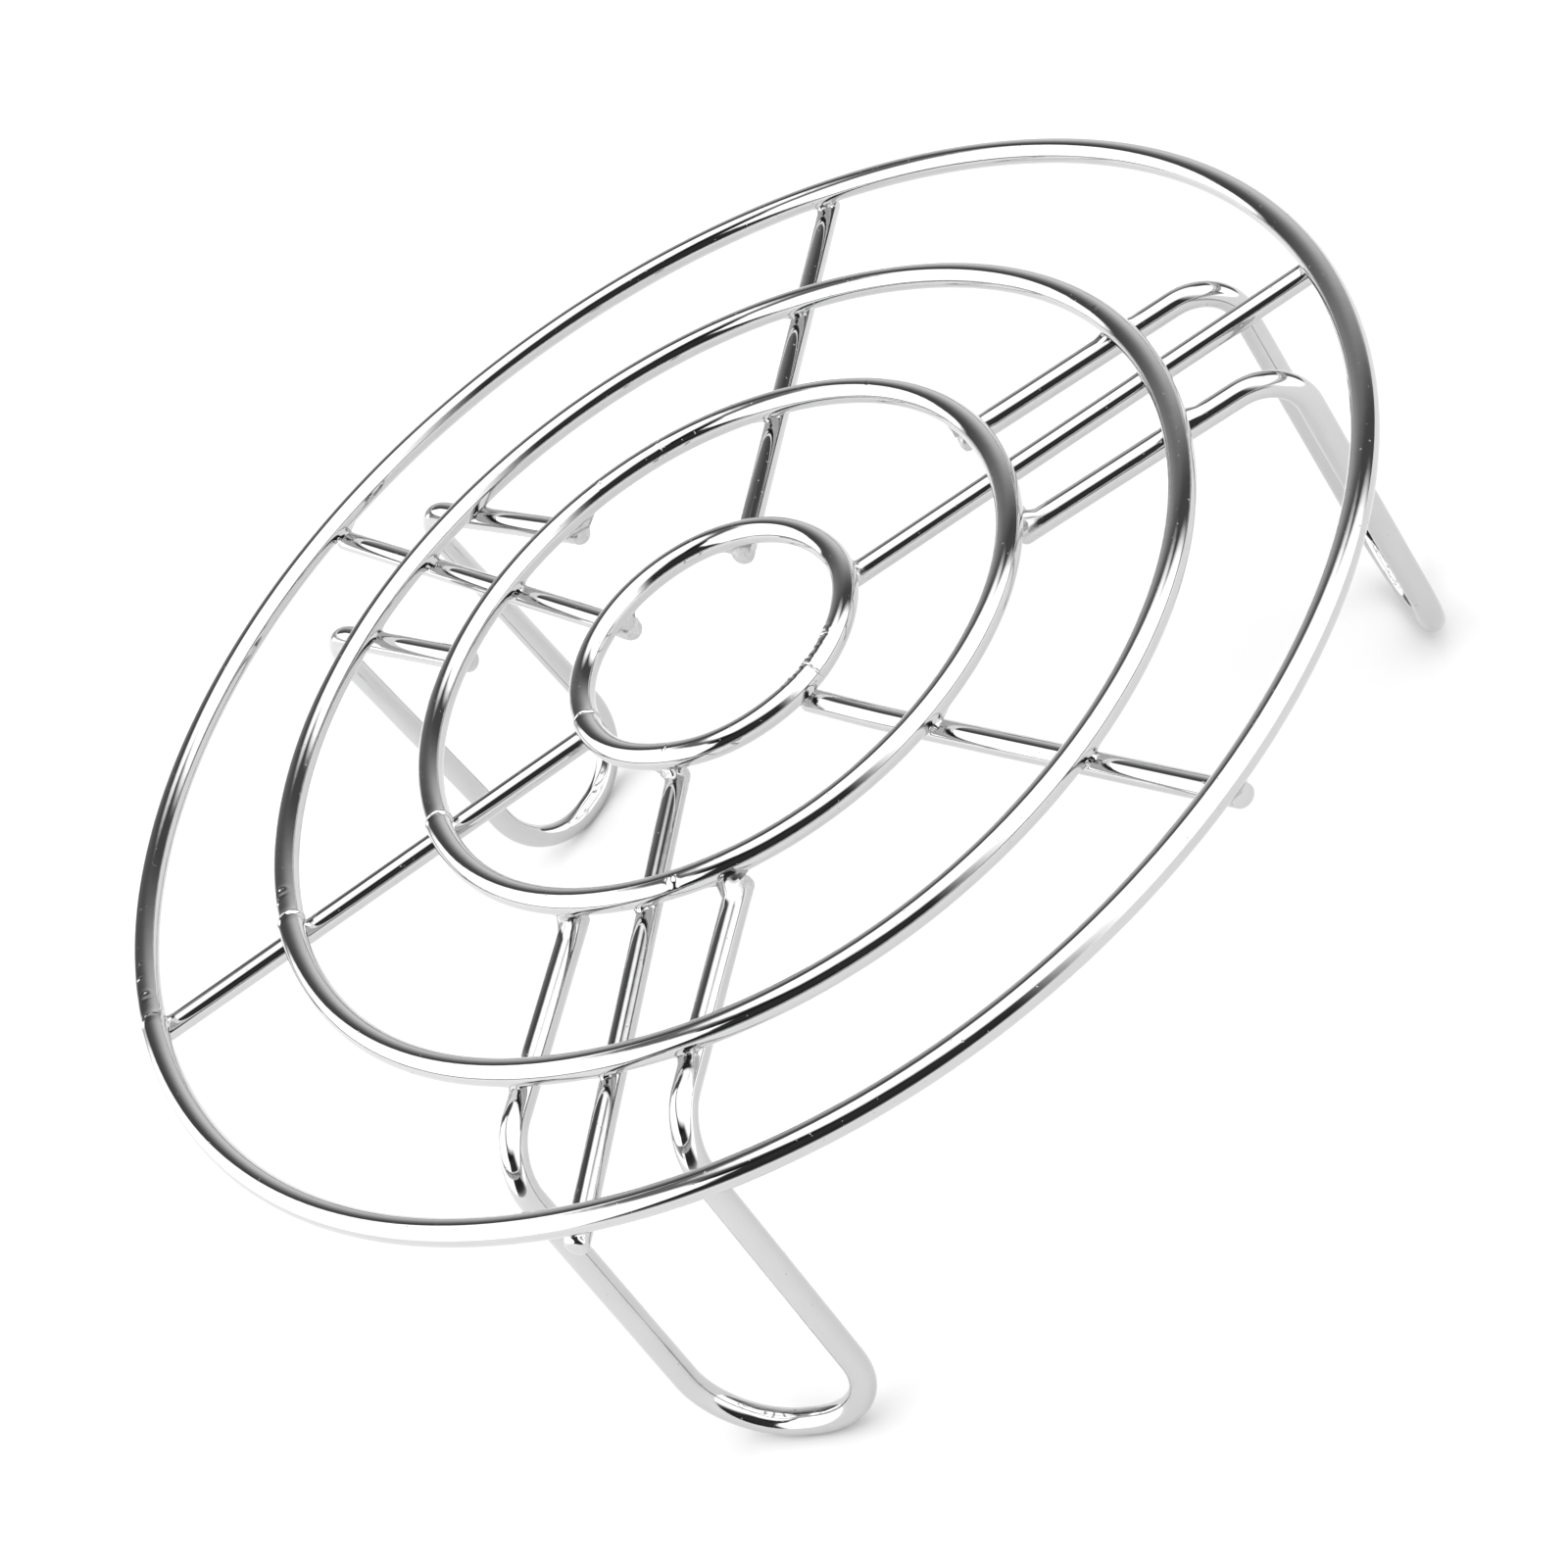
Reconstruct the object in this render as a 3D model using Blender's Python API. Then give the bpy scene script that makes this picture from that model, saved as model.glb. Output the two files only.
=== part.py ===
"""Round wire cooling rack on three looped legs.

Four concentric wire rings lie on top of six radial wire spokes.  Three
U-shaped legs hang under the grid: each is one wire whose two parallel arms
run outwards under the second and third rings, bend down between the third
and the outer ring, and join in a round foot.  Every crossing is a
resistance weld, so the wires only touch; here they keep a 0.3 mm gap.

Frame: metres, +Z up, the rack stands on z = 0, origin under the centre of
the outer ring.  The front leg points along -Y.
"""
import math

import bmesh
import bpy
from mathutils import Matrix, Vector

MM = 0.001

# ---------------------------------------------------------------- dimensions
RING_WIRE = 3.8 * MM            # wire of the rings and of the legs
SPOKE_WIRE = 3.4 * MM           # wire of the spokes
SEAT_GAP = 0.3 * MM             # gap where two wires touch

OUTER_RING_R = 98.1 * MM        # centre-line radii, outer diameter 200 mm
RING_PITCH = 25.4 * MM          # step between rings
FOOT_DROP = 63.6 * MM           # ring centre-line plane to foot centre-line

SPOKE_INNER_R = 19.9 * MM       # spoke tips, just past the inner ring
SPOKE_OUTER_R = 99.9 * MM       # and just past the outer ring

ARM_SPREAD = 13.2 * MM          # half the distance between a leg's arms
CORNER_R = 8.0 * MM             # bend from arm to drop, wire centre-line
FOOT_R = 12.4 * MM              # bend of the foot, wire centre-line
TIP_CHAMFER = 0.6 * MM          # broken edge of every wire end

SIDES = 12                      # flats round a wire
RING_STEPS = (36, 54, 72, 90)   # segments round the inner ... outer ring
CORNER_STEPS = 6
FOOT_STEPS = 7                  # per quarter turn of the foot

# Heights of the wire centre-lines.  The spokes and the arms both lie
# directly under the rings.
FOOT_Z = RING_WIRE / 2
RING_Z = FOOT_Z + FOOT_DROP
SPOKE_Z = RING_Z - (RING_WIRE + SPOKE_WIRE) / 2 - SEAT_GAP
ARM_Z = RING_Z - RING_WIRE - SEAT_GAP

# As-welded set: a hand-loaded weld jig leaves each wire a little off its
# nominal place.  Rings: name, centre offset.
RINGS = (
    ("ring_inner", (-0.5 * MM, -1.0 * MM)),
    ("ring_second", (-0.8 * MM, 1.1 * MM)),
    ("ring_third", (0.0, -1.3 * MM)),
    ("ring_outer", (0.0, 0.0)),
)
# Spokes: name, azimuth in degrees, sideways offset of its line from the axis.
SPOKES = (
    ("spoke_1", 90.0, 1.2 * MM),
    ("spoke_2", 30.0 - 1.0, -1.5 * MM),
    ("spoke_3", -30.0 + 2.5, -4.8 * MM),
    ("spoke_4", -90.0 + 1.9, -3.6 * MM),
    ("spoke_5", -150.0 + 1.0, -2.8 * MM),
    ("spoke_6", 150.0 - 1.8, 0.5 * MM),
)
# Legs: name, azimuth, sideways offset, where its left and right arm start
# (just inside the second ring), where the arm's and the drop's lines cross,
# outward lean of the drop in degrees.
LEGS = (
    ("leg_front", -90.0 - 1.9, 0.2 * MM, 43.4 * MM, 43.7 * MM, 84.9 * MM, 3.9),
    ("leg_right", 30.0 - 2.7, -0.2 * MM, 43.7 * MM, 44.2 * MM, 87.5 * MM, -0.1),
    ("leg_left", 150.0 + 3.9, -4.5 * MM, 49.4 * MM, 45.7 * MM, 88.4 * MM, -6.2),
)


# ------------------------------------------------------------------ geometry
def wire_section(bm, centre, across, up, wire, turn=0.0):
    """Closed loop of SIDES edges round centre, flats facing across and up.

    The polygon is drawn round the wire's circle, so opposite flats are
    exactly one wire diameter apart.
    """
    radius = wire / 2 / math.cos(math.pi / SIDES)
    verts = []
    for k in range(SIDES):
        a = 2 * math.pi * (k + 0.5) / SIDES + turn
        verts.append(bm.verts.new(
            centre + across * (radius * math.cos(a)) + up * (radius * math.sin(a))))
    return [bm.edges.new((verts[k], verts[(k + 1) % SIDES])) for k in range(SIDES)]


def run_straight(bm, loop, step):
    """Extrude the loop along the vector step; gives the new loop."""
    out = bmesh.ops.extrude_edge_only(bm, edges=loop)["geom"]
    verts = [g for g in out if isinstance(g, bmesh.types.BMVert)]
    bmesh.ops.translate(bm, verts=verts, vec=step)
    return [g for g in out if isinstance(g, bmesh.types.BMEdge)
            and all(v in set(verts) for v in g.verts)]


def run_bend(bm, loop, centre, axis, angle, steps):
    """Spin the loop about an axis through centre; gives the new loop."""
    out = bmesh.ops.spin(bm, geom=loop, cent=centre, axis=axis, angle=angle,
                         steps=steps, dvec=(0, 0, 0), use_merge=False,
                         use_normal_flip=False, use_duplicate=False)
    return [g for g in out["geom_last"] if isinstance(g, bmesh.types.BMEdge)]


def close_end(bm, loop):
    """Fill a wire's end and break its edge."""
    bmesh.ops.edgeloop_fill(bm, edges=loop)
    bmesh.ops.bevel(bm, geom=loop, offset=TIP_CHAMFER, offset_type='OFFSET',
                    segments=1, profile=0.5, affect='EDGES',
                    clamp_overlap=True)


def ring_mesh(name, radius, steps):
    """One closed wire ring about the local Z axis."""
    bm = bmesh.new()
    loop = wire_section(bm, Vector((radius, 0, 0)), Vector((1, 0, 0)),
                        Vector((0, 0, 1)), RING_WIRE)
    bmesh.ops.spin(bm, geom=loop, cent=(0, 0, 0), axis=(0, 0, 1),
                   angle=2 * math.pi, steps=steps, dvec=(0, 0, 0),
                   use_merge=True, use_normal_flip=False, use_duplicate=False)
    return finish_mesh(bm, name)


def spoke_mesh(name):
    """One straight wire along local +X, with both tips broken."""
    bm = bmesh.new()
    start = wire_section(bm, Vector((SPOKE_INNER_R, 0, 0)), Vector((0, 1, 0)),
                         Vector((0, 0, 1)), SPOKE_WIRE)
    end = run_straight(bm, start, Vector((SPOKE_OUTER_R - SPOKE_INNER_R, 0, 0)))
    close_end(bm, start)
    close_end(bm, end)
    return finish_mesh(bm, name)


def leg_mesh(name, start_left, start_right, corner_r, lean):
    """One looped leg: arm out, corner, drop, foot, and back the same way.

    Local +X points outwards.  The arms start at start_left and start_right.
    Arm and drop meet at corner_r, before the bend is rounded, and the drop
    leans outwards by lean.  The section is turned by lean too, so the flats
    under the foot face straight down.
    """
    out = Vector((1, 0, 0))
    side = Vector((0, 1, 0))
    up = Vector((0, 0, 1))
    down = Vector((math.sin(lean), 0, -math.cos(lean)))
    turned = math.pi / 2 - lean              # angle between arm and drop
    setback = CORNER_R * math.tan(turned / 2)
    corner = out * corner_r + up * ARM_Z
    drop = (ARM_Z - FOOT_Z) / math.cos(lean)  # corner to foot centre-line

    bm = bmesh.new()
    first = wire_section(bm, out * start_left + side * ARM_SPREAD + up * ARM_Z,
                         -side, up, RING_WIRE, turn=lean)
    loop = run_straight(bm, first, out * (corner_r - setback - start_left))
    # arm to drop: about a sideways axis, below the arm
    pivot = corner + side * ARM_SPREAD - out * setback - up * CORNER_R
    loop = run_bend(bm, loop, pivot, side, turned, CORNER_STEPS)
    loop = run_straight(bm, loop, down * (drop - setback - FOOT_R))
    # foot: two quarter turns with a short flat stretch between them
    normal = side.cross(down)
    heel = corner + down * (drop - FOOT_R)
    loop = run_bend(bm, loop, heel + side * (ARM_SPREAD - FOOT_R), normal,
                    math.pi / 2, FOOT_STEPS)
    loop = run_straight(bm, loop, -side * 2 * (ARM_SPREAD - FOOT_R))
    loop = run_bend(bm, loop, heel - side * (ARM_SPREAD - FOOT_R), normal,
                    math.pi / 2, FOOT_STEPS)
    # drop to arm, mirrored
    loop = run_straight(bm, loop, -down * (drop - setback - FOOT_R))
    pivot = corner - side * ARM_SPREAD - out * setback - up * CORNER_R
    loop = run_bend(bm, loop, pivot, -side, turned, CORNER_STEPS)
    last = run_straight(bm, loop, -out * (corner_r - setback - start_right))
    close_end(bm, first)
    close_end(bm, last)
    return finish_mesh(bm, name)


def finish_mesh(bm, name):
    bmesh.ops.recalc_face_normals(bm, faces=bm.faces)
    mesh = bpy.data.meshes.new(name)
    bm.to_mesh(mesh)
    bm.free()
    mesh.shade_smooth()
    mesh.set_sharp_from_angle(angle=math.radians(40))
    return mesh


# ----------------------------------------------------------------- materials
def steel(name, colour, roughness):
    mat = bpy.data.materials.new(name)
    mat.use_nodes = True
    bsdf = mat.node_tree.nodes["Principled BSDF"]
    bsdf.inputs["Base Color"].default_value = (*colour, 1.0)
    bsdf.inputs["Metallic"].default_value = 1.0
    bsdf.inputs["Roughness"].default_value = roughness
    return mat


# ------------------------------------------------------------------ assembly
def place(name, mesh, parent, position, azimuth, material):
    obj = bpy.data.objects.new(name, mesh)
    bpy.context.scene.collection.objects.link(obj)
    obj.parent = parent
    obj.location = position
    obj.rotation_euler = (0, 0, azimuth)
    if not mesh.materials:
        mesh.materials.append(None)
    obj.material_slots[0].link = 'OBJECT'
    obj.material_slots[0].material = material
    return obj


def sideways(azimuth, offset):
    """Offset to the left of a line that runs outwards at this azimuth."""
    return Matrix.Rotation(azimuth, 3, 'Z') @ Vector((0, offset, 0))


def main():
    for obj in list(bpy.data.objects):
        bpy.data.objects.remove(obj, do_unlink=True)

    rack = bpy.data.objects.new("rack", None)
    bpy.context.scene.collection.objects.link(rack)

    count = len(RINGS)
    for k, (name, offset) in enumerate(RINGS):
        radius = OUTER_RING_R - RING_PITCH * (count - 1 - k)
        place(name, ring_mesh(name, radius, RING_STEPS[k]), rack,
              Vector((offset[0], offset[1], RING_Z)), 0.0,
              steel(name + "_steel", (0.80, 0.80, 0.81), 0.08))

    shared = spoke_mesh("spoke_wire")
    for name, azimuth, offset in SPOKES:
        a = math.radians(azimuth)
        place(name, shared, rack, sideways(a, offset) + Vector((0, 0, SPOKE_Z)),
              a, steel(name + "_steel", (0.77, 0.77, 0.78), 0.09))

    for name, azimuth, offset, *run, lean in LEGS:
        a = math.radians(azimuth)
        place(name, leg_mesh(name, *run, math.radians(lean)), rack,
              sideways(a, offset), a,
              steel(name + "_steel", (0.79, 0.79, 0.80), 0.08))

    bpy.context.view_layer.update()


main()
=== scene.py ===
"""Looks of the round wire cooling rack: thirteen polished steel wires, welded."""
import math

import bpy
import numpy as np
from mathutils import Matrix


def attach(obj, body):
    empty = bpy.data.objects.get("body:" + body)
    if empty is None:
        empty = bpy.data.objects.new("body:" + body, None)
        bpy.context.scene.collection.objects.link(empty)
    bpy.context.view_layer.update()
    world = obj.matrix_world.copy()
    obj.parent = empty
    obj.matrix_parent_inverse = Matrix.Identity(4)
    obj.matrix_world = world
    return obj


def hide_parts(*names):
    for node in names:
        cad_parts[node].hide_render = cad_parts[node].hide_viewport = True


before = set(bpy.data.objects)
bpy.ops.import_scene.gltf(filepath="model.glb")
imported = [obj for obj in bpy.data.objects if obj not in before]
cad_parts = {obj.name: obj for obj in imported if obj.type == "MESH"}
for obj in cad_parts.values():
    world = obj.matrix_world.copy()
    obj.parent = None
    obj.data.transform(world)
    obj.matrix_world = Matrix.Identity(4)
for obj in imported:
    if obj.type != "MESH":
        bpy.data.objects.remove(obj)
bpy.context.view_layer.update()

# --------------------------------------------------------------- dimensions
# Millimetres, as in the CAD.  The wires of the real rack touch at every
# crossing and are pressed a little into each other by the welding.
RING_WIRE = 3.8
SPOKE_WIRE = 3.4
OUTER_RING_R = 98.1
RING_PITCH = 25.4
FOOT_DROP = 63.6
SPOKE_INNER_R = 19.9
SPOKE_OUTER_R = 99.9
ARM_SPREAD = 13.2
CORNER_R = 8.0
FOOT_R = 12.4
SET_DOWN = 0.06                 # how far welding presses two wires together

FOOT_Z = RING_WIRE / 2
RING_Z = FOOT_Z + FOOT_DROP
SPOKE_Z = RING_Z - (RING_WIRE + SPOKE_WIRE) / 2 + SET_DOWN
ARM_Z = RING_Z - RING_WIRE + SET_DOWN

RINGS = (                       # name, centre
    ("ring_inner", (-0.5, -1.0)),
    ("ring_second", (-0.8, 1.1)),
    ("ring_third", (0.0, -1.3)),
    ("ring_outer", (0.0, 0.0)),
)
SPOKES = (                      # name, azimuth, sideways offset
    ("spoke_1", 90.0, 1.2),
    ("spoke_2", 29.0, -1.5),
    ("spoke_3", -27.5, -4.8),
    ("spoke_4", -88.1, -3.6),
    ("spoke_5", -149.0, -2.8),
    ("spoke_6", 148.2, 0.5),
)
LEGS = (                        # name, azimuth, offset, arm starts, corner, lean
    ("leg_front", -91.9, 0.2, 43.4, 43.7, 84.9, 3.9),
    ("leg_right", 27.3, -0.2, 43.7, 44.2, 87.5, -0.1),
    ("leg_left", 153.9, -4.5, 49.4, 45.7, 88.4, -6.2),
)

# Where each spoke's inner tip ends: some stop under the inner ring, some
# show as a nub inside it.
SPOKE_TIPS = (19.4, 20.1, 21.2, 20.7, 20.9, 20.5)
# And its outer tip.
SPOKE_ENDS = (99.9, 99.9, 98.4, 99.9, 99.9, 99.9)

# No ring is a true circle after bending and welding: how far its wire runs
# outside (+) or inside (-) the circle, every 10 degrees from azimuth 5.
RING_WOBBLE = (
    (0.15, 0.28, -0.10, -0.27, -0.33, -0.37, -0.30, -0.21, 0.00, 0.18, 0.27, 0.32,
     0.35, 0.34, 0.21, -0.03, -0.20, -0.45, -0.80, -1.10, -1.30, -1.45, -1.50, -1.55,
     -1.60, -1.60, -1.50, -1.20, -0.81, -0.45, -0.13, 0.10, 0.41, 0.54, 0.45, 0.30),
    (0.32, 0.18, 0.00, -0.07, -0.03, -0.03, -0.05, -0.07, -0.05, 0.05, 0.17, 0.37,
     0.46, 0.42, 0.44, 0.38, 0.30, 0.08, -0.12, -0.25, -0.22, -0.18, -0.06, 0.03,
     0.02, -0.08, -0.15, -0.20, -0.15, -0.04, 0.05, 0.13, 0.24, 0.32, 0.40, 0.39),
    (-0.03, -0.21, -0.25, -0.13, -0.02, 0.05, 0.09, 0.11, 0.17, 0.30, 0.43, 0.53,
     0.58, 0.61, 0.60, 0.49, 0.25, 0.04, -0.20, -0.34, -0.25, 0.02, 0.28, 0.43,
     0.40, 0.18, -0.13, -0.33, -0.21, -0.03, 0.13, 0.22, 0.24, 0.24, 0.25, 0.16),
    (0.15, 0.13, 0.09, 0.14, 0.18, 0.10, -0.08, -0.30, -0.45, -0.53, -0.54, -0.43,
     -0.20, 0.09, 0.27, 0.27, 0.13, -0.04, -0.21, -0.28, -0.25, -0.18, 0.05, 0.35,
     0.48, 0.39, 0.17, -0.03, -0.13, -0.17, -0.23, -0.36, -0.50, -0.45, -0.15, 0.06),
)

SIDES = 36                      # facets round a wire, smooth shaded
UP = np.array((0.0, 0.0, 1.0))


# ----------------------------------------------------------------- geometry
def waves(p, seed, pitch):
    """A smooth random field of a few crossing waves, about -1 to 1."""
    rng = np.random.default_rng(seed)
    total = np.zeros(p.shape[:-1])
    for _ in range(9):
        d = rng.normal(size=3)
        d /= np.linalg.norm(d)
        f = 2 * math.pi / pitch * rng.uniform(0.6, 1.5)
        total += np.sin(p @ d * f + rng.uniform(0, 2 * math.pi))
    return total / 4.2


def smooth(x):
    x = np.clip(x, 0.0, 1.0)
    return x * x * (3 - 2 * x)


def direction(azimuth):
    a = math.radians(azimuth)
    return np.array((math.cos(a), math.sin(a), 0.0))


def left_of(azimuth):
    return direction(azimuth + 90.0)


def wobble(index, azimuth):
    """A ring's deviation from its circle and its slope, at azimuths in radians."""
    terms = np.fft.rfft(RING_WOBBLE[index]) / 36
    at = np.asarray(azimuth)[..., None] - math.radians(5.0)
    order = np.arange(1, 9)
    turn = np.exp(1j * order * at)
    value = terms[0].real + 2 * (turn * terms[1:9]).real.sum(axis=-1)
    slope = 2 * (1j * order * turn * terms[1:9]).real.sum(axis=-1)
    return value, slope


class Torus:
    """A ring as a distance field."""

    def __init__(self, index, wire):
        self.centre = np.array((*RINGS[index][1], RING_Z))
        self.index, self.radius, self.wire = index, ring_radius(index), wire

    def distance(self, p):
        q = p - self.centre
        out = wobble(self.index, np.arctan2(q[..., 1], q[..., 0]))[0]
        flat = np.hypot(q[..., 0], q[..., 1]) - self.radius - out
        return np.hypot(flat, q[..., 2]) - self.wire / 2


class Rod:
    """A straight wire as a distance field."""

    def __init__(self, start, end, wire):
        self.start, self.end, self.wire = start, end, wire

    def distance(self, p):
        run = self.end - self.start
        t = np.clip((p - self.start) @ run / (run @ run), 0.0, 1.0)
        near = self.start + t[..., None] * run
        return np.linalg.norm(p - near, axis=-1) - self.wire / 2


def weld_size(spoke, ring):
    """Radius of the fillet in a weld; one spoke barely took at its inner end."""
    return {(2, 0): 0.14, (2, 3): 1.35}.get((spoke, ring), 0.85)


def near_ends(points):
    """1 close to a wire end that was welded flat, falling to 0 about 4 mm away."""
    near = np.zeros(points.shape[:-1])
    for tip in WELDED_TIPS:
        d = np.linalg.norm(points - tip, axis=-1)
        near = np.maximum(near, smooth(1.0 - (d - 1.6) / 2.6))
    return near


def weld_rise(points, out, wire, others, seed):
    """How far a wire's skin rises into the fillets it shares with others.

    Both wires of a crossing rise to the same blended surface, so they meet
    in one line along the middle of the fillet and run on inside each other.
    """
    rise = np.zeros(points.shape[:2])
    heat = np.zeros(points.shape[:2])
    lump = waves(points, 11, 1.3)
    for body, size in others:
        first = body.distance(points)
        # only rows near this crossing matter
        rows = np.where(first.min(axis=1) < 3.5)[0]
        if not len(rows):
            continue
        base, way = points[rows], out[rows]
        k = size * np.clip(1.0 + 0.45 * lump[rows], 0.35, 1.8)
        k = k * (1.0 + 1.1 * near_ends(base))
        t = np.zeros(base.shape[:2])
        for _ in range(24):
            b = body.distance(base + t[..., None] * way)
            h = np.clip(1.0 - np.abs(t - b) / k, 0.0, 1.0)
            fillet = k * h * h / 4
            inside = np.clip(k / 2 - b, 0.0, 0.62 * k)
            t = 0.5 * t + 0.5 * np.where(b >= t, fillet, inside)
        rise[rows] = np.maximum(rise[rows], t)
        heat[rows] = np.maximum(heat[rows], smooth(1.0 - first[rows] / 3.2))
    return rise, heat


def stations(length, marks, coarse, closed):
    """Where the wire gets a row of vertices; rows are dense near each mark."""
    s = np.linspace(0.0, length, int(length / 0.04) + 1)
    step = np.full_like(s, coarse)
    for at, fine, reach in marks:
        d = np.abs(s - at)
        if closed:
            d = np.minimum(d, length - d)
        step = np.minimum(step, fine + (coarse - fine) * smooth((d - reach) / (1.2 * reach)))
    count = np.concatenate([[0.0], np.cumsum((1 / step[1:] + 1 / step[:-1]) / 2 * np.diff(s))])
    n = int(math.ceil(count[-1]))
    out = np.interp(np.linspace(0.0, count[-1], n + 1), count, s)
    return out[:-1] if closed else out


def tube(name, s, centre, tangent, across, wire, others, closed, seed,
         swell=None, tips=None, length=None):
    """One wire as a swept skin of rows, with fillets where it meets others."""
    phi = 2 * math.pi * np.arange(SIDES) / SIDES
    over = np.cross(tangent, across)
    out = (across[:, None, :] * np.cos(phi)[None, :, None]
           + over[:, None, :] * np.sin(phi)[None, :, None])
    radius = np.full((len(s), SIDES), wire / 2)
    if tips is not None:
        radius *= tips[0][:, None]
    # the drawn wire is never perfectly round or straight
    radius += 0.010 * waves(centre, seed + 5, 23.0)[:, None]
    if swell is not None:
        radius += swell(s[:, None], phi[None, :])
    skin = centre[:, None, :] + out * radius[..., None]
    rise, heat = weld_rise(skin, out, wire, others, seed)
    skin = skin + out * rise[..., None]
    if tips is not None:                       # slanted cut of the wire's ends
        slant = (out @ tips[1][:, :, None])[..., 0] * radius
        skin = skin + tangent[:, None, :] * slant[..., None]

    n, m = len(s), SIDES
    verts = skin.reshape(-1, 3)
    faces = []
    last = n if closed else n - 1
    for i in range(last):
        j = (i + 1) % n
        a, b = i * m, j * m
        for k in range(m):
            q = (k + 1) % m
            faces.append((a + k, a + q, b + q, b + k))
    grain = np.stack([np.broadcast_to(s[:, None], (n, m)),
                      np.broadcast_to(np.cos(phi) * wire / 2, (n, m)),
                      np.broadcast_to(np.sin(phi) * wire / 2, (n, m))], axis=-1).reshape(-1, 3)
    heat = heat.reshape(-1)
    if not closed:                             # a slightly crowned centre point
        poles = []
        for row, sign in ((0, -1), (n - 1, 1)):
            middle = skin[row].mean(axis=0) + tangent[row] * sign * 0.03
            poles.append(middle)
            p = n * m + len(poles) - 1
            for k in range(m):
                q = (k + 1) % m
                tri = (row * m + k, row * m + q, p)
                faces.append(tri if sign > 0 else tri[::-1])
        verts = np.concatenate([verts, np.array(poles)])
        grain = np.concatenate([grain, [[s[0], 0, 0], [s[-1], 0, 0]]])
        heat = np.concatenate([heat, [0.3, 0.3]])

    mesh = bpy.data.meshes.new(name)
    mesh.from_pydata((verts * 0.001).tolist(), [], faces)
    corner = np.empty(len(mesh.loops), dtype=np.int32)
    mesh.loops.foreach_get("vertex_index", corner)
    coords = grain[corner]
    if closed:                                 # the last row runs on to full length
        first = n * m - m
        wrapped = np.zeros(len(corner), dtype=bool)
        wrapped[first * 4:] = True
        coords[wrapped & (corner < m), 0] = length
    attr = mesh.attributes.new("grain", 'FLOAT_VECTOR', 'CORNER')
    attr.data.foreach_set("vector", coords.astype(np.float32).ravel())
    attr = mesh.attributes.new("heat", 'FLOAT', 'POINT')
    attr.data.foreach_set("value", heat.astype(np.float32))
    attr = mesh.attributes.new("cut", 'FLOAT', 'POINT')
    attr.data.foreach_set("value", near_ends(verts).astype(np.float32))
    mesh.shade_smooth()
    mesh.validate()
    obj = bpy.data.objects.new(name, mesh)
    bpy.context.scene.collection.objects.link(obj)
    return obj


def tip_rows(s, length, wire, round_start, round_end, slant_start, slant_end):
    """Rows of an open wire with a rounded corner and a flat cut at each end.

    Gives the stations, each row's share of the full radius and each row's
    slant, a vector in space by which the cut leans along the wire.
    """
    turn = np.radians(np.linspace(90.0, 0.0, 9))[:-1]
    r = wire / 2

    def cap(e):
        at = [0.0, 0.0] + list(e * (1 - np.sin(turn)))
        share = [0.35 * (r - e) / r, 0.7 * (r - e) / r] + list((r - e * (1 - np.cos(turn))) / r)
        share[2] = (r - e) / r
        return np.array(at), np.array(share)

    a0, f0 = cap(round_start)
    a1, f1 = cap(round_end)
    body = s[(s > round_start + 0.05) & (s < length - round_end - 0.05)]
    body = np.concatenate([[round_start], body, [length - round_end]])
    rows = np.concatenate([a0, body, length - a1[::-1]])
    share = np.concatenate([f0, np.ones(len(body)), f1[::-1]])
    lean0 = 1.0 - smooth(rows / (2.2 * wire))
    lean1 = 1.0 - smooth((length - rows) / (2.2 * wire))
    slant = lean0[:, None] * slant_start[None, :] + lean1[:, None] * slant_end[None, :]
    return rows, share, slant


def ring_radius(index):
    return OUTER_RING_R - RING_PITCH * (len(RINGS) - 1 - index)


def spoke_line(azimuth, offset):
    base = left_of(azimuth) * offset + UP * SPOKE_Z
    way = direction(azimuth)
    return base, way


def arm_lines(leg):
    name, azimuth, offset, left, right, corner, lean = leg
    way, side = direction(azimuth), left_of(azimuth)
    setback = CORNER_R * math.tan((math.pi / 2 - math.radians(lean)) / 2)
    for start, sign in ((left, 1), (right, -1)):
        base = side * (offset + sign * ARM_SPREAD) + UP * ARM_Z
        yield base + way * start, base + way * (corner - setback)


RING_FIELDS = [Torus(i, RING_WIRE) for i in range(len(RINGS))]
SPOKE_FIELDS = []
for (name, azimuth, offset), inner, outer in zip(SPOKES, SPOKE_TIPS, SPOKE_ENDS):
    base, way = spoke_line(azimuth, offset)
    SPOKE_FIELDS.append(Rod(base + way * (inner + 1.2), base + way * (outer - 1.2), SPOKE_WIRE))
WELDED_TIPS = []                # inner ends of the spokes and ends of the arms
for (name, azimuth, offset), inner in zip(SPOKES, SPOKE_TIPS):
    base, way = spoke_line(azimuth, offset)
    if name != "spoke_3":
        WELDED_TIPS.append(base + way * (inner + 0.8) + UP * 0.3)
for leg in LEGS:
    for a, b in arm_lines(leg):
        WELDED_TIPS.append(a + (b - a) / np.linalg.norm(b - a) * 0.8 + UP * 0.3)
ARM_FIELDS = []
for leg in LEGS:
    ARM_FIELDS.append([Rod(a, b, RING_WIRE) for a, b in arm_lines(leg)])


def crossings(points, s, body, reach):
    """Stations at which a centre line passes closest to another wire."""
    d = body.distance(points)
    low = np.where((d[1:-1] <= d[:-2]) & (d[1:-1] < d[2:]) & (d[1:-1] < reach))[0] + 1
    found = [s[i] for i in low]
    for i in (0, len(s) - 1):
        if d[i] < reach and not found:
            found.append(s[i])
    return found


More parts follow.
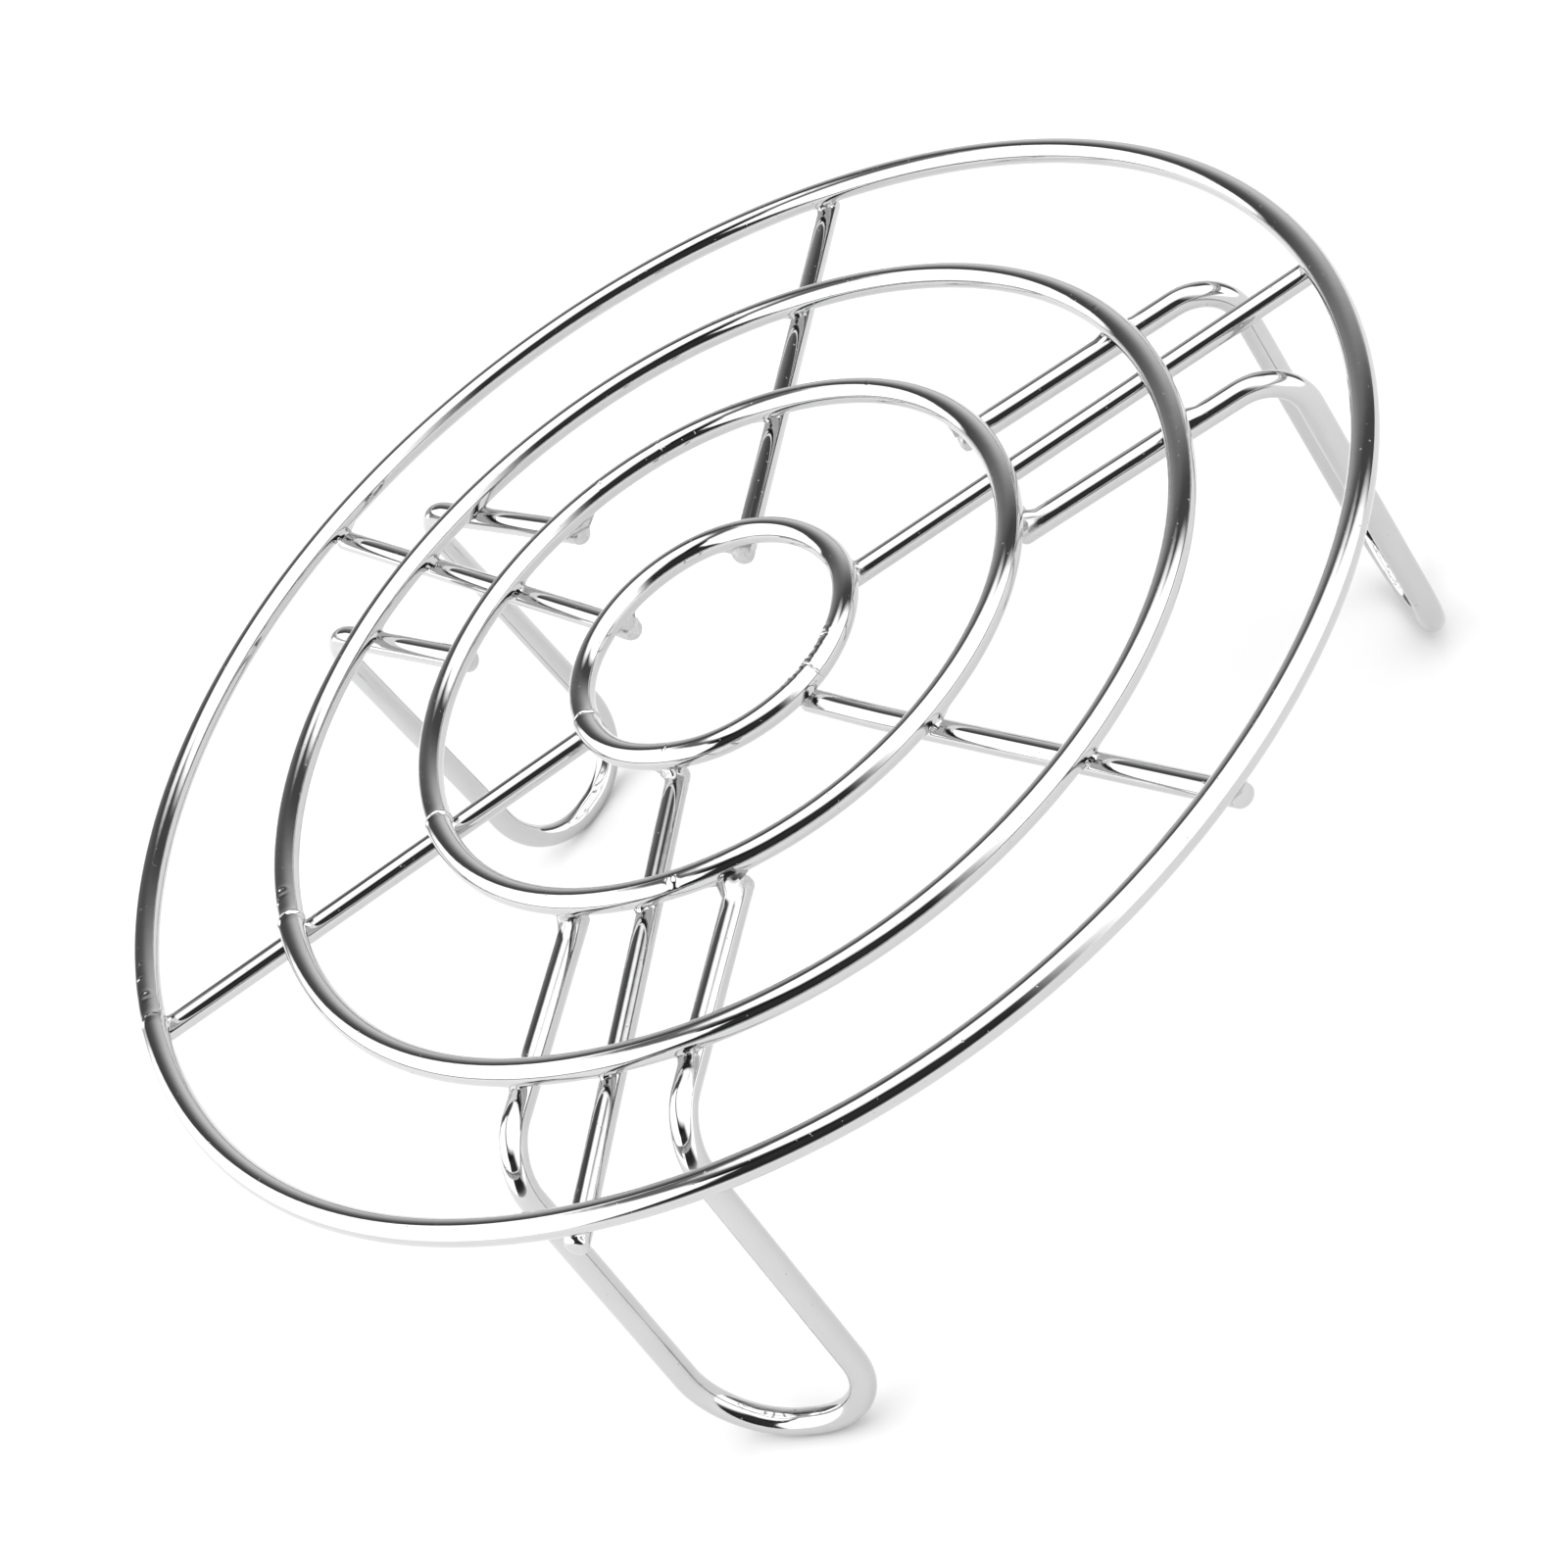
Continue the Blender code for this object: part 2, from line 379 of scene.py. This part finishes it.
# Each ring is one wire bent round and butt-welded over the fifth spoke.
# Azimuth of the joint seen from the ring's centre, how rough it is, and how
# far its two ends miss each other outwards and upwards.
JOINTS = (
    (-153.0, 1.0, 0.26, 0.05),
    (-149.0, 1.0, 0.40, 0.06),
    (-151.5, 1.0, 0.44, -0.05),
    (-149.5, 0.8, 0.14, 0.04),
)
# Dents, nicks and weld spatter: ring, azimuth, angle round the wire (0 is
# outwards, 90 up), length along the wire, angle it covers, height.
SCARS = (
    (0, -14.0, 128.0, 0.42, 20.0, -0.16), (0, -15.6, 112.0, 0.30, 16.0, 0.09),
    (0, -30.0, 80.0, 0.10, 46.0, -0.16), (0, -29.2, 128.0, 0.45, 16.0, 0.10),
    (0, -34.0, 118.0, 0.50, 15.0, -0.07), (0, -38.5, 132.0, 0.50, 18.0, 0.08),
    (0, -29.0, 22.0, 0.42, 20.0, 0.10), (0, -23.0, 124.0, 0.60, 14.0, -0.06),
    (0, -94.0, 96.0, 0.18, 14.0, 0.06), (0, -29.7, 55.0, 0.30, 10.0, -0.20),
    (1, 111.8, 85.0, 0.09, 50.0, -0.09), (1, 125.2, 105.0, 0.30, 14.0, -0.10),
    (1, -83.4, 55.0, 0.40, 16.0, 0.09), (1, 66.0, 95.0, 0.35, 9.0, -0.03),
    (2, -155.6, 92.0, 0.55, 17.0, -0.12), (2, -154.2, 55.0, 0.30, 12.0, 0.07),
    (2, 40.0, 100.0, 0.50, 8.0, -0.03),
    (3, -154.8, 80.0, 0.30, 10.0, 0.06), (3, -152.3, 100.0, 0.55, 15.0, -0.11),
    (3, -156.5, 88.0, 0.25, 9.0, -0.05), (3, -26.0, 60.0, 0.60, 8.0, -0.03),
)


def make_ring(index):
    name, centre = RINGS[index]
    radius = ring_radius(index)
    length = 2 * math.pi * radius
    joint, rough, step, lift = JOINTS[index]
    joint = math.radians(joint)
    mid = np.array((*centre, RING_Z))

    def path(s):
        a = joint + s / radius
        out = np.stack([np.cos(a), np.sin(a), np.zeros_like(a)], axis=-1)
        run = np.stack([-np.sin(a), np.cos(a), np.zeros_like(a)], axis=-1)
        drift, slope = wobble(index, a)
        d = np.where(s > length / 2, s - length, s)
        miss = np.tanh(d / 0.16) * np.exp(-np.abs(d) / 8.0) / 2
        line = mid + out * (radius + drift + step * miss)[:, None] + UP * (lift * miss)[:, None]
        steer = np.arctan(slope / radius)[:, None]
        return line, run * np.cos(steer) + out * np.sin(steer), out * np.cos(steer) - run * np.sin(steer)

    probe = np.linspace(0.0, length, 4000)
    line = path(probe)[0]
    others = [(f, weld_size(k, index)) for k, f in enumerate(SPOKE_FIELDS)]
    others += [(f, 0.85) for pair in ARM_FIELDS for f in pair]
    marks = [(0.0, 0.085, 1.2)]
    for field, size in others:
        for at in crossings(line, probe, field, 1.4):
            marks.append((at, 0.22, 2.2))
    scars = []
    for which, azimuth, turn, reach, spread, height in SCARS:
        if which == index:
            at = (math.radians(azimuth) - joint) % (2 * math.pi) * radius
            scars.append((at, -math.radians(turn), reach, math.radians(spread), height))
            marks.append((at, max(0.08, reach * 0.4), 2.2 * reach))
    s = stations(length, marks, min(2.2, radius * 0.045), True)
    centre_line, run, out = path(s)

    def joint_swell(at, phi):
        d = np.where(at > length / 2, at - length, at)
        ragged = 0.25 * np.sin(2 * phi + index) + 0.16 * np.sin(5 * phi + 2.1 * index)
        upset = 0.07 * np.exp(-((d - 0.4 * ragged) / 0.9) ** 2) * (1 + 0.6 * np.sin(phi + index))
        crack = -0.17 * np.exp(-((d - 0.8 * ragged) / 0.17) ** 2)
        crack = crack * (0.40 + 0.60 * smooth(0.5 + np.sin(phi * 1.0 + 2.4 + 1.7 * index)))
        total = rough * (upset + crack)
        if index == 0:                         # a badly dressed stretch by the third spoke
            far = (at / radius + joint - math.radians(-28.0) + math.pi) % (2 * math.pi) - math.pi
            side = (phi + math.radians(118.0) + math.pi) % (2 * math.pi) - math.pi
            rub = np.exp(-(far / 0.26) ** 4) * np.exp(-(side / 0.42) ** 2)
            total = total + 0.055 * rub * (np.sin(5.1 * at + 2.2 * phi) + 0.8 * np.sin(8.3 * at - 3.1 * phi + 1.0))
        for place, turn, reach, spread, height in scars:
            off = (at - place + length / 2) % length - length / 2
            side = (phi - turn + math.pi) % (2 * math.pi) - math.pi
            r2 = (off / reach) ** 2 + (side / spread) ** 2
            total = total + height * np.exp(-r2) - 0.35 * height * np.exp(-(np.sqrt(r2) - 1.7) ** 2 / 0.25)
        return total

    return tube(name + "_wire", s, centre_line, run, out, RING_WIRE, others, True,
                100 + index, swell=joint_swell, length=length)


def make_spoke(index):
    name, azimuth, offset = SPOKES[index]
    base, way = spoke_line(azimuth, offset)
    length = SPOKE_ENDS[index] - SPOKE_TIPS[index]
    start = base + way * SPOKE_TIPS[index]
    probe = np.linspace(0.0, length, 1600)
    line = start + probe[:, None] * way
    others = [(f, weld_size(index, k)) for k, f in enumerate(RING_FIELDS)]
    marks = []
    for field, size in others:
        for at in crossings(line, probe, field, 4.0):
            marks.append((at, 0.22, 2.2))
    s = stations(length, marks, 1.6, False)
    rng = np.random.default_rng(300 + index)
    slants = [left_of(azimuth) * rng.uniform(-0.16, 0.16) + UP * rng.uniform(-0.16, 0.16) for _ in range(2)]
    s, share, slant = tip_rows(s, length, SPOKE_WIRE, rng.uniform(1.0, 1.25), rng.uniform(0.8, 1.1), *slants)
    centre_line = start + s[:, None] * way
    if index == 2:                             # pressed up beside the inner ring
        centre_line = centre_line + UP * 0.75 * np.exp(-(s / 9.0) ** 2)[:, None]
    run = np.repeat(way[None, :], len(s), axis=0)
    side = np.repeat(left_of(azimuth)[None, :], len(s), axis=0)
    return tube(name + "_wire", s, centre_line, run, side, SPOKE_WIRE, others, False,
                200 + index, tips=(share, slant))


class Route:
    """A wire's centre line made of straight runs and round bends."""

    def __init__(self, at, way):
        self.at, self.way, self.parts, self.length = at, way, [], 0.0

    def run(self, length):
        self.parts.append((self.length, length, self.at, self.way, None, None))
        self.at = self.at + self.way * length
        self.length += length

    def bend(self, radius, angle, toward):
        self.parts.append((self.length, radius * angle, self.at, self.way, toward, radius))
        self.at, self.way = self.turned(self.at, self.way, toward, radius, angle)
        self.length += radius * angle

    @staticmethod
    def turned(at, way, toward, radius, angle):
        return (at + way * (radius * math.sin(angle)) + toward * (radius * (1 - math.cos(angle))),
                way * math.cos(angle) + toward * math.sin(angle))

    def sample(self, s):
        points, ways = [], []
        for v in s:
            for begin, length, at, way, toward, radius in self.parts:
                if v <= begin + length + 1e-9 or begin + length >= self.length - 1e-9:
                    u = v - begin
                    if toward is None:
                        points.append(at + way * u)
                        ways.append(way)
                    else:
                        p, w = self.turned(at, way, toward, radius, u / radius)
                        points.append(p)
                        ways.append(w)
                    break
        return np.array(points), np.array(ways)

    def joins(self):
        return [p[0] for p in self.parts[1:]]


def make_leg(index):
    name, azimuth, offset, left, right, corner, lean = LEGS[index]
    lean = math.radians(lean)
    way, side = direction(azimuth), left_of(azimuth)
    down = way * math.sin(lean) - UP * math.cos(lean)
    turned = math.pi / 2 - lean
    setback = CORNER_R * math.tan(turned / 2)
    drop = (ARM_Z - FOOT_Z) / math.cos(lean) - setback - FOOT_R
    route = Route(side * (offset + ARM_SPREAD) + UP * ARM_Z + way * left, way)
    route.run(corner - setback - left)
    route.bend(CORNER_R, turned, -UP)
    route.run(drop)
    route.bend(FOOT_R, math.pi / 2, -side)
    route.run(2 * (ARM_SPREAD - FOOT_R))
    route.bend(FOOT_R, math.pi / 2, -down)
    route.run(drop)
    back = way * math.cos(lean) + UP * math.sin(lean)
    route.bend(CORNER_R, turned, -back)
    route.run(corner - setback - right)

    probe = np.linspace(0.0, route.length, 5000)
    line, _ = route.sample(probe)
    others = [(f, 0.85) for f in RING_FIELDS]
    marks = []
    for field, size in others:
        for at in crossings(line, probe, field, 1.4):
            marks.append((at, 0.22, 2.2))
    for begin, length, at, w, toward, radius in route.parts:
        if toward is not None:
            marks.append((begin + length / 2, 0.45, length / 2))
    s = stations(route.length, marks, 2.0, False)
    rng = np.random.default_rng(500 + index)
    slants = [side * rng.uniform(-0.14, 0.14) + UP * rng.uniform(-0.14, 0.14) for _ in range(2)]
    s, share, slant = tip_rows(s, route.length, RING_WIRE, 1.05, 1.15, *slants)
    line, run = route.sample(s)
    across = np.empty_like(run)
    hold = side.copy()
    for i, t in enumerate(run):
        hold = hold - t * (hold @ t)
        hold /= np.linalg.norm(hold)
        across[i] = hold
    return tube(name + "_wire", s, line, run, across, RING_WIRE, others, False,
                400 + index, tips=(share, slant))


# ---------------------------------------------------------------- materials
def polished_steel(name, seed, tone, gloss):
    """Bright drawn wire, polished after welding.

    The grain attribute runs in millimetres along and round the wire, heat
    is 1 at a weld and falls to 0 three millimetres away, and cut is 1 on an
    end that was welded flat, which the polishing leaves duller.
    """
    mat = bpy.data.materials.new(name)
    mat.use_nodes = True
    nt = mat.node_tree
    nt.nodes.clear()
    new, link = nt.nodes.new, nt.links.new

    def math_node(op, a, b, clamp=False):
        node = new("ShaderNodeMath")
        node.operation = op
        node.use_clamp = clamp
        for socket, value in zip(node.inputs, (a, b)):
            if isinstance(value, (int, float)):
                socket.default_value = value
            else:
                link(value, socket)
        return node.outputs[0]

    def noise(vector, scale, detail=2.0, rough=0.5):
        node = new("ShaderNodeTexNoise")
        node.inputs["Scale"].default_value = scale
        node.inputs["Detail"].default_value = detail
        node.inputs["Roughness"].default_value = rough
        link(vector, node.inputs["Vector"])
        return node.outputs["Fac"]

    def stretch(vector, scale, shift):
        node = new("ShaderNodeMapping")
        node.inputs["Scale"].default_value = scale
        node.inputs["Location"].default_value = shift
        link(vector, node.inputs["Vector"])
        return node.outputs[0]

    def remap(value, lo, hi, to_lo, to_hi):
        node = new("ShaderNodeMapRange")
        node.interpolation_type = 'SMOOTHSTEP'
        link(value, node.inputs["Value"])
        for key, v in (("From Min", lo), ("From Max", hi), ("To Min", to_lo), ("To Max", to_hi)):
            node.inputs[key].default_value = v
        return node.outputs[0]

    grain = new("ShaderNodeAttribute")
    grain.attribute_name = "grain"
    heat = new("ShaderNodeAttribute")
    heat.attribute_name = "heat"
    cut = new("ShaderNodeAttribute")
    cut.attribute_name = "cut"
    place = grain.outputs["Vector"]
    hot = heat.outputs["Fac"]

    lines = noise(stretch(place, (0.10, 5.0, 5.0), (seed, 0, 0)), 1.0, 3.0, 0.55)
    haze = noise(stretch(place, (0.35, 1.0, 1.0), (seed * 3, 5, 2)), 0.35, 2.0)
    scale_marks = noise(stretch(place, (1.0, 1.0, 1.0), (seed * 7, 1, 9)), 2.6, 3.0, 0.6)
    specks = noise(stretch(place, (1.0, 1.0, 1.0), (seed * 5, 3, 4)), 1.7, 1.0)
    dents = noise(stretch(place, (0.6, 1.0, 1.0), (seed * 11, 7, 4)), 0.75, 1.0)

    speck = remap(specks, 0.735, 0.80, 0.0, 1.0)
    burnt = math_node('MULTIPLY', hot, remap(scale_marks, 0.40, 0.72, 0.0, 1.0))

    # roughness: a bright base, hazier patches, drawing lines, dull weld scale
    base = remap(haze, 0.30, 0.72, gloss * 0.75, gloss * 1.45)
    drawn = math_node('MULTIPLY', remap(lines, 0.45, 0.75, 0.0, 1.0), gloss * 0.35)
    dull = math_node('MULTIPLY', burnt, 0.16)
    dots = math_node('MULTIPLY', speck, 0.22)
    rough = math_node('ADD', math_node('ADD', base, drawn), math_node('ADD', dull, dots), True)
    matt = math_node('MULTIPLY', cut.outputs["Fac"], remap(scale_marks, 0.30, 0.65, 0.16, 0.38))
    rough = math_node('ADD', rough, matt, True)

    # colour: neutral, a shade darker where the weld discoloured it
    shade = new("ShaderNodeMix")
    shade.data_type = 'RGBA'
    link(remap(haze, 0.30, 0.70, 0.0, 1.0), shade.inputs[0])
    shade.inputs[6].default_value = (tone * 0.985, tone * 0.985, tone * 0.99, 1.0)
    shade.inputs[7].default_value = (tone * 1.015, tone * 1.015, tone * 1.015, 1.0)
    tint = new("ShaderNodeMix")
    tint.data_type = 'RGBA'
    link(math_node('ADD', math_node('MULTIPLY', burnt, 0.55), math_node('MULTIPLY', speck, 0.5), True), tint.inputs[0])
    link(shade.outputs[2], tint.inputs[6])
    tint.inputs[7].default_value = (tone * 0.60, tone * 0.585, tone * 0.57, 1.0)

    # relief: drawing lines, shallow polishing waves, pitted weld skin
    height = math_node('ADD', math_node('MULTIPLY', lines, 0.0007),
                       math_node('MULTIPLY', dents, 0.0060))
    height = math_node('ADD', height, math_node('MULTIPLY', math_node('MULTIPLY', hot, scale_marks), 0.030))
    height = math_node('SUBTRACT', height, math_node('MULTIPLY', speck, 0.012))
    bump = new("ShaderNodeBump")
    bump.inputs["Strength"].default_value = 1.0
    bump.inputs["Distance"].default_value = 0.001
    link(height, bump.inputs["Height"])

    bsdf = new("ShaderNodeBsdfPrincipled")
    bsdf.inputs["Metallic"].default_value = 1.0
    link(tint.outputs[2], bsdf.inputs["Base Color"])
    link(rough, bsdf.inputs["Roughness"])
    link(bump.outputs[0], bsdf.inputs["Normal"])
    out = new("ShaderNodeOutputMaterial")
    link(bsdf.outputs[0], out.inputs["Surface"])
    return mat


def floor_paper():
    """White sweep under the rack."""
    mat = bpy.data.materials.new("floor_paper")
    mat.use_nodes = True
    nt = mat.node_tree
    bsdf = nt.nodes["Principled BSDF"]
    coord = nt.nodes.new("ShaderNodeTexCoord")
    noise = nt.nodes.new("ShaderNodeTexNoise")
    noise.inputs["Scale"].default_value = 60.0
    noise.inputs["Detail"].default_value = 4.0
    nt.links.new(coord.outputs["Object"], noise.inputs["Vector"])
    mix = nt.nodes.new("ShaderNodeMix")
    mix.data_type = 'RGBA'
    nt.links.new(noise.outputs["Fac"], mix.inputs[0])
    mix.inputs[6].default_value = (FLOOR_TONE * 0.995,) * 3 + (1.0,)
    mix.inputs[7].default_value = (FLOOR_TONE * 1.005,) * 3 + (1.0,)
    # painted light: the floor's colour is made brighter toward the left softbox
    left = nt.nodes.new("ShaderNodeVectorMath")
    left.operation = 'DOT_PRODUCT'
    left.inputs[1].default_value = (-0.97, -0.26, 0.0)
    nt.links.new(coord.outputs["Object"], left.inputs[0])
    near = nt.nodes.new("ShaderNodeMapRange")
    near.interpolation_type = 'SMOOTHSTEP'
    nt.links.new(left.outputs["Value"], near.inputs["Value"])
    for key, v in (("From Min", -0.06), ("From Max", 0.22), ("To Min", 0.0), ("To Max", 1.0)):
        near.inputs[key].default_value = v
    painted_light = nt.nodes.new("ShaderNodeMix")
    painted_light.data_type = 'RGBA'
    nt.links.new(near.outputs[0], painted_light.inputs[0])
    nt.links.new(mix.outputs[2], painted_light.inputs[6])
    painted_light.inputs[7].default_value = (FLOOR_TONE * 1.10,) * 3 + (1.0,)
    nt.links.new(painted_light.outputs[2], bsdf.inputs["Base Color"])
    bsdf.inputs["Roughness"].default_value = 0.9
    bsdf.inputs["Specular IOR Level"].default_value = 0.0
    return mat


# ------------------------------------------------------------------- studio
FLOOR_TONE = 0.87
WHITE = 2.1                     # radiance of the softboxes


def radiance(shade):
    """Radiance that polished steel shows as this sRGB value."""
    c = shade / 255.0
    linear = ((c + 0.055) / 1.055) ** 2.4 if c > 0.04045 else c / 12.92
    return linear / 0.56


def build_studio():
    """White tent: softboxes left, right and overhead, dark behind the camera."""
    world = bpy.data.worlds.new("studio")
    bpy.context.scene.world = world
    world.use_nodes = True
    nt = world.node_tree
    nt.nodes.clear()
    new, link = nt.nodes.new, nt.links.new

    def op(kind, a, b=0.0, c=0.0, clamp=False):
        node = new("ShaderNodeMath")
        node.operation = kind
        node.use_clamp = clamp
        for socket, value in zip(node.inputs, (a, b, c)):
            if isinstance(value, (int, float)):
                socket.default_value = value
            else:
                link(value, socket)
        return node.outputs[0]

    def ramp(value, lo, hi):
        """0 below lo, 1 above hi, smooth between; lo may be above hi."""
        flip = lo > hi
        node = new("ShaderNodeMapRange")
        node.interpolation_type = 'SMOOTHSTEP'
        link(value, node.inputs["Value"])
        node.inputs["From Min"].default_value = min(lo, hi)
        node.inputs["From Max"].default_value = max(lo, hi)
        node.inputs["To Min"].default_value = 1.0 if flip else 0.0
        node.inputs["To Max"].default_value = 0.0 if flip else 1.0
        return node.outputs[0]

    def mix(under, over, mask):
        return op('ADD', under, op('MULTIPLY', op('SUBTRACT', over, under), mask))

    def both(*masks):
        out = masks[0]
        for m in masks[1:]:
            out = op('MULTIPLY', out, m)
        return out

    coord = new("ShaderNodeTexCoord")
    split = new("ShaderNodeSeparateXYZ")
    link(coord.outputs["Generated"], split.inputs[0])
    x, y, z = split.outputs
    deg = 180.0 / math.pi
    el = op('MULTIPLY', op('ARCSINE', z), deg)
    az = op('MULTIPLY', op('ARCTAN2', y, x), deg)          # -180 to 180

    def turn(centre):
        """Azimuth measured from this one, -180 to 180."""
        return op('WRAP', op('SUBTRACT', az, centre), 180.0, -180.0)

    light = WHITE

    # backdrop wall between the softboxes: dark frame round a grey glow
    a = turn(98.0)
    left_edge = op('ADD', a, op('MULTIPLY', op('SUBTRACT', el, 20.0), -0.25))
    wall_l = ramp(left_edge, -62.0, -49.0)
    top_line = op('ADD', el, op('MULTIPLY', op('MAXIMUM', op('ADD', a, 34.0), 0.0), -0.155))
    wall_t = ramp(top_line, 52.8, 41.5)
    right_edge = op('ADD', a, op('MULTIPLY', op('MAXIMUM', op('SUBTRACT', el, 30.0), 0.0), 0.75))
    right_edge = op('SUBTRACT', right_edge, op('MULTIPLY', op('MAXIMUM', op('SUBTRACT', 20.0, el), 0.0), 0.2))
    wall_r = ramp(right_edge, 61.5, 57.0)
    wall = both(wall_l, wall_t, wall_r)
    u = op('DIVIDE', op('MAXIMUM', op('MULTIPLY', a, -1.33), a), 60.0)
    v = op('DIVIDE', op('MAXIMUM', op('SUBTRACT', el, 4.0), 0.0), 46.5)
    r = op('SQRT', op('ADD', op('MULTIPLY', u, u), op('MULTIPLY', v, v)))
    glow = mix(radiance(192), radiance(66), ramp(r, 0.12, 1.02))
    glow = mix(glow, radiance(172), both(ramp(el, 9.0, -7.0), ramp(a, -44.0, -26.0)))
    light = mix(light, glow, wall)

    # left softbox: thin grey seam against the overhead panel
    b = turn(203.0)
    seam_el = op('SUBTRACT', op('SUBTRACT', el, 64.3), op('MULTIPLY', op('MULTIPLY', b, b), -0.0028))
    seam = both(ramp(op('ABSOLUTE', seam_el), 6.4, 1.4), ramp(op('ABSOLUTE', b), 72.0, 60.0))
    light = mix(light, radiance(96), seam)
    # right-hand part of the seam opens into the dark side
    flare = both(ramp(op('ABSOLUTE', seam_el), 8.0, 2.5), ramp(b, 24.0, 40.0), ramp(b, 64.0, 56.0))
    light = mix(light, radiance(62), flare)

    # dark side behind the camera
    c = turn(284.0)
    bulge = op('MULTIPLY', op('MAXIMUM', op('SUBTRACT', el, 42.0), 0.0), 1.55)
    droop = op('MULTIPLY', op('MAXIMUM', op('SUBTRACT', 26.0, el), 0.0), 0.50)
    left_c = op('ADD', c, op('ADD', bulge, droop))
    dark_l = ramp(left_c, -30.5, -25.5)
    dark_r = ramp(c, 51.0, 24.0)
    top_c = op('ADD', el, op('MULTIPLY', op('MAXIMUM', op('ADD', c, 4.0), 0.0), 0.32))
    dark_t = ramp(top_c, 70.5, 53.5)
    dark = both(dark_l, dark_r, dark_t)
    low = mix(radiance(44), radiance(160), ramp(el, 3.0, -11.0))
    low = mix(low, radiance(24), both(ramp(el, 44.0, 49.0), ramp(el, 60.0, 53.0)))
    low = mix(low, radiance(34), both(ramp(el, 4.0, 9.0), ramp(el, 20.0, 13.0)))
    light = mix(light, low, dark)

    # the floor beyond the table, only near the horizon
    light = mix(light, radiance(212), ramp(el, -5.0, -11.0))
    # seen directly, the tent is plain white
    path = new("ShaderNodeLightPath")
    light = mix(light, 1.16, path.outputs["Is Camera Ray"])

    back = new("ShaderNodeBackground")
    link(light, back.inputs["Strength"])
    back.inputs["Color"].default_value = (1.0, 1.0, 1.0, 1.0)
    out = new("ShaderNodeOutputWorld")
    link(back.outputs[0], out.inputs["Surface"])


def build_camera():
    cam = bpy.data.cameras.new("camera")
    cam.sensor_width = 36.0
    cam.lens = 77.17
    cam.shift_x = 0.0012
    cam.shift_y = 0.0016
    cam.clip_start = 0.01
    cam.clip_end = 50.0
    obj = bpy.data.objects.new("camera", cam)
    bpy.context.scene.collection.objects.link(obj)
    right = (0.8532790, 0.1701141, -0.4929261)
    up = (0.2079002, 0.7559292, 0.6207645)
    back = (0.4782180, -0.6321648, 0.6096518)
    place = (0.230989, -0.314021, 0.336945)
    m = Matrix.Identity(4)
    for row in range(3):
        m[row][0], m[row][1], m[row][2], m[row][3] = right[row], up[row], back[row], place[row]
    obj.matrix_world = m
    bpy.context.scene.camera = obj


def build_floor():
    mesh = bpy.data.meshes.new("floor")
    n, reach = 96, 0.50
    verts = [(0.0, 0.0, 0.0)] + [
        (reach * math.cos(2 * math.pi * k / n), reach * math.sin(2 * math.pi * k / n), 0.0) for k in range(n)]
    faces = [(0, k + 1, (k + 1) % n + 1) for k in range(n)]
    mesh.from_pydata(verts, [], faces)
    obj = bpy.data.objects.new("floor", mesh)
    bpy.context.scene.collection.objects.link(obj)
    mesh.materials.append(floor_paper())


# ----------------------------------------------------------------- assembly
def take_place(obj, node, material):
    obj.data.materials.append(material)
    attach(obj, "root")
    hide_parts(node)


RING_STEEL = polished_steel("ring_steel", 3.0, 0.560, 0.034)
SPOKE_STEEL = polished_steel("spoke_steel", 17.0, 0.555, 0.038)
LEG_STEEL = polished_steel("leg_steel", 29.0, 0.560, 0.068)

for i in range(len(RINGS)):
    take_place(make_ring(i), RINGS[i][0], RING_STEEL)
for i in range(len(SPOKES)):
    take_place(make_spoke(i), SPOKES[i][0], SPOKE_STEEL)
for i in range(len(LEGS)):
    take_place(make_leg(i), LEGS[i][0], LEG_STEEL)

build_floor()
build_studio()
build_camera()
view = bpy.context.scene.view_settings
view.view_transform = 'Standard'
view.look = 'None'
view.exposure = 0.0
view.gamma = 1.0

bpy.context.view_layer.update()
